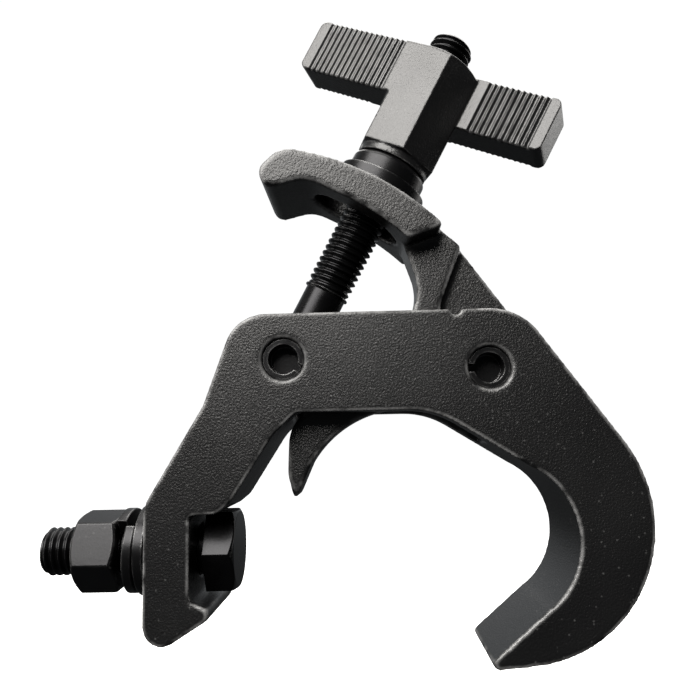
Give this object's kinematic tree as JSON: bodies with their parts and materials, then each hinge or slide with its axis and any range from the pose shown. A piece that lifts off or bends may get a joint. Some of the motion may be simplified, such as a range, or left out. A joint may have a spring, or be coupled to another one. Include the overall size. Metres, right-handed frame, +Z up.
{
  "type": "pipe clamp",
  "caption": "Black hook clamp for stage tube: an eye bolt and ridged T handle draw a lever's jaw against the tube, and a fixture bolt with washers and nut crosses its leg.",
  "frame": {"origin": "centre of the hook's root arc, halfway across the clamp", "axes": "+X from the fixture bolt towards the hook's back, +Y along the tube and away from the viewer, +Z up towards the T handle"},
  "size_m": [0.1477, 0.03, 0.1683],
  "materials": {
    "powder_black": "fine-textured black powder coat on aluminium, with brighter rubbed edges",
    "satin_black": "satin black coating on a cast handle",
    "black_steel": "black oxide steel, semi-gloss"
  },
  "bodies": {
    "hook": {"hook_body": "powder_black", "eye_bolt_pin": "black_steel", "lever_pin": "black_steel", "fixture_bolt": "black_steel"},
    "lever": {"lever": "powder_black"},
    "swing_bolt": {"eye_bolt": "black_steel"},
    "thrust_washers": {"handle_washer": "black_steel", "handle_collar": "black_steel"},
    "handle": {"t_handle": "satin_black"},
    "bolt_washers": {"flat_washer": "black_steel", "spring_washer": "black_steel"},
    "nut": {"fixture_nut": "black_steel"}
  },
  "joints": [
    {"name": "lever_close", "type": "hinge", "parent": "hook", "child": "lever", "pos_m": [0, 0, 0.0405], "axis": [0, -1, 0], "range_deg": [0, 25]},
    {"name": "bolt_swing", "type": "hinge", "parent": "hook", "child": "swing_bolt", "pos_m": [-0.0494, 0, 0.0436], "axis": [0, -1, 0], "range_deg": [0, 15]},
    {"name": "washer_slide", "type": "slide", "parent": "swing_bolt", "child": "thrust_washers", "axis": [-0.4695, 0, -0.8829], "range_m": [0, 0.02013]},
    {"name": "handle_turn", "type": "hinge", "parent": "thrust_washers", "child": "handle", "pos_m": [-0.0494, 0, 0.0436], "axis": [-0.4695, 0, -0.8829], "range_deg": [0, 4140]},
    {"name": "bolt_washer_slide", "type": "slide", "parent": "hook", "child": "bolt_washers", "axis": [-1, 0, 0], "range_m": [-0.00088, 0.0105]},
    {"name": "nut_turn", "type": "hinge", "parent": "bolt_washers", "child": "nut", "pos_m": [-0.098, 0, -0.0025], "axis": [-1, 0, 0], "range_deg": [-180, 2160]}
  ],
  "couplings": [
    {"joint": "lever_close", "follows": "handle_turn", "ratio": 0.0060386},
    {"joint": "bolt_swing", "follows": "handle_turn", "ratio": 0.0036232},
    {"joint": "washer_slide", "follows": "handle_turn", "m_per_rad": 0.00027852},
    {"joint": "bolt_washer_slide", "follows": "nut_turn", "m_per_rad": 0.00027852}
  ]
}
